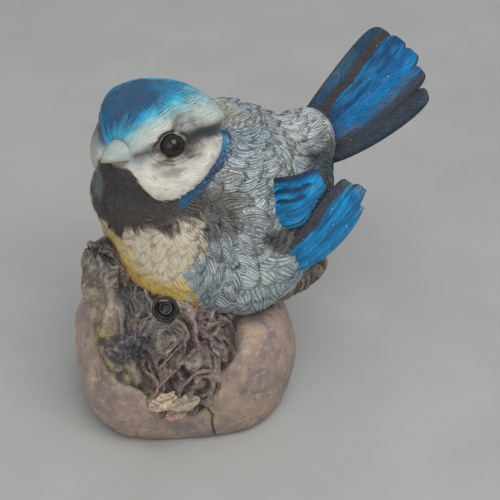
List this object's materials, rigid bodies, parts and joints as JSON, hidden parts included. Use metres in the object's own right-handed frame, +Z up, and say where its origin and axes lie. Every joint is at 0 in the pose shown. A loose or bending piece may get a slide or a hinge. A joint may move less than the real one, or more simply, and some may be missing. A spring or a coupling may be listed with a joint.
{
  "type": "blue tit figurine",
  "caption": "Painted resin garden ornament of a plump blue tit on a broken log and rounded stone, with a round sensor eye in the log.",
  "frame": {"origin": "centre of the flat underside of the stone, on the surface it stands on", "axes": "+Z up; the front, with the sensor eye, faces -Y; the bird's head is toward -X and its tail toward +X"},
  "size_m": [0.1224, 0.0956, 0.1244],
  "materials": {
    "painted_plumage": "cast resin, sculpted plumage, hand painted, satin",
    "painted_feathers": "cast resin, sculpted vanes, painted blue with dark bands, satin",
    "painted_bill": "cast resin, painted pale grey, satin",
    "glossy_eye": "glossy black-brown bead",
    "painted_bark": "cast resin bark, dark wash with dry-brushed ridges",
    "painted_leaf": "cast resin dead leaves, matt",
    "painted_stone": "cast resin stone, mottled taupe, satin",
    "black_plastic": "moulded black plastic",
    "black_lens": "glossy dark window"
  },
  "bodies": {
    "root": {"head": "painted_plumage", "bill_upper": "painted_bill", "bill_lower": "painted_bill", "eye_left": "glossy_eye", "eye_right": "glossy_eye", "neck": "painted_plumage", "rump": "painted_plumage", "trunk": "painted_plumage", "wing_left_inner_feathers": "painted_feathers", "wing_left_outer_feathers": "painted_feathers", "wing_left_shoulder": "painted_plumage", "wing_right_inner_feathers": "painted_feathers", "wing_right_outer_feathers": "painted_feathers", "wing_right_shoulder": "painted_plumage", "tail_feather_1": "painted_feathers", "tail_feather_2": "painted_feathers", "tail_feather_3": "painted_feathers", "tail_feather_4": "painted_feathers", "tail_feather_5": "painted_feathers", "log_stump": "painted_bark", "log_horn": "painted_bark", "log_branch": "painted_bark", "log_stub": "painted_bark", "twig_1": "painted_bark", "twig_2": "painted_bark", "leaf_1": "painted_leaf", "leaf_2": "painted_leaf", "leaf_3": "painted_leaf", "stone": "painted_stone", "sensor_bezel": "black_plastic", "sensor_lens": "black_lens"}
  },
  "joints": []
}
